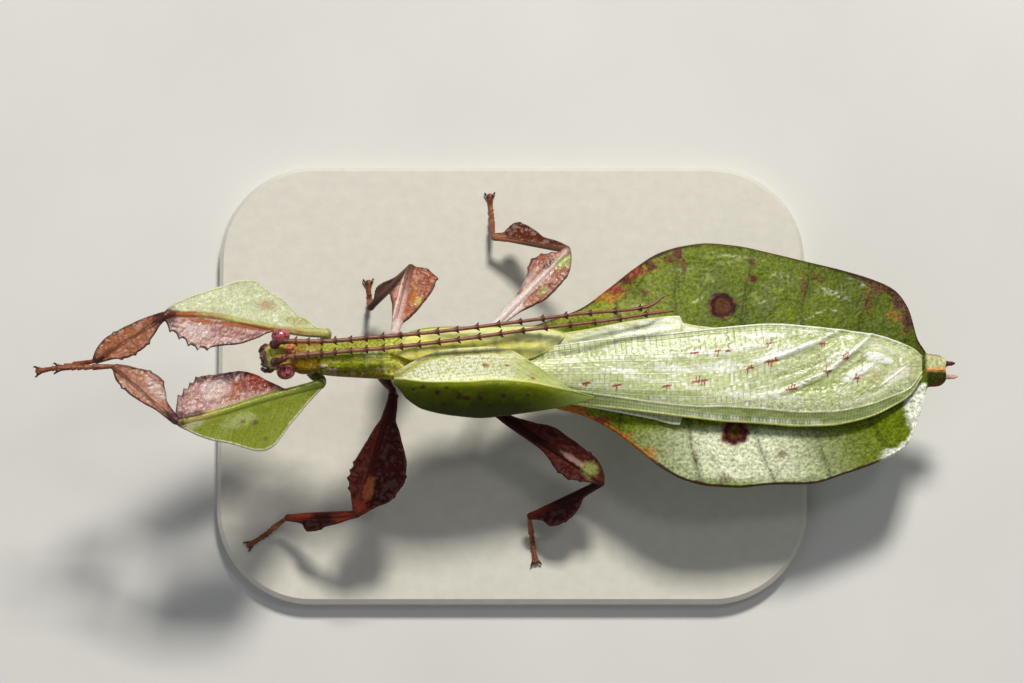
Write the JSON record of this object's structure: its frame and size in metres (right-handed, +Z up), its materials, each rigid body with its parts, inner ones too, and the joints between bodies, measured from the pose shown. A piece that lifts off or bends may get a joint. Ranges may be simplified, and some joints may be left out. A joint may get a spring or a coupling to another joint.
{
  "type": "leaf insect",
  "caption": "Life-size model of a male leaf insect with long antennae, leaf-like legs and abdomen, standing on a plain flat base.",
  "frame": {"origin": "centre of the base's flat underside", "axes": "+X from head to tail, +Y to the insect's right, +Z up"},
  "size_m": [0.0852, 0.042, 0.0238],
  "materials": {
    "head_green": "satin",
    "thorax_green": "satin",
    "abdomen_green": "satin",
    "wing_green": "glossy membrane",
    "fore_lobe": "satin",
    "leg_brown": "satin, wrinkled",
    "antenna_brown": "satin",
    "eye_maroon": "glossy",
    "base_ivory": "matt"
  },
  "bodies": {
    "root": {"abdomen": "abdomen_green", "antenna_left": "antenna_brown", "antenna_right": "antenna_brown", "cercus_left": "antenna_brown", "cercus_right": "antenna_brown", "coxa_fore_left": "leg_brown", "coxa_fore_right": "leg_brown", "coxa_hind_left": "leg_brown", "coxa_hind_right": "leg_brown", "coxa_mid_left": "leg_brown", "coxa_mid_right": "leg_brown", "eye_left": "eye_maroon", "eye_right": "eye_maroon", "femur_fore_left": "fore_lobe", "femur_fore_right": "fore_lobe", "femur_hind_left": "leg_brown", "femur_hind_right": "leg_brown", "femur_mid_left": "leg_brown", "femur_mid_right": "leg_brown", "head": "head_green", "hindwing_left": "wing_green", "hindwing_right": "wing_green", "mesothorax": "thorax_green", "metathorax": "thorax_green", "pronotum": "thorax_green", "stand_base": "base_ivory", "tail": "thorax_green", "tarsus_fore_left": "leg_brown", "tarsus_fore_right": "leg_brown", "tarsus_hind_left": "leg_brown", "tarsus_hind_right": "leg_brown", "tarsus_mid_left": "leg_brown", "tarsus_mid_right": "leg_brown", "tegmen_left": "thorax_green", "tegmen_right": "thorax_green", "tibia_fore_left": "leg_brown", "tibia_fore_right": "leg_brown", "tibia_hind_left": "leg_brown", "tibia_hind_right": "leg_brown", "tibia_mid_left": "leg_brown", "tibia_mid_right": "leg_brown"}
  },
  "joints": []
}
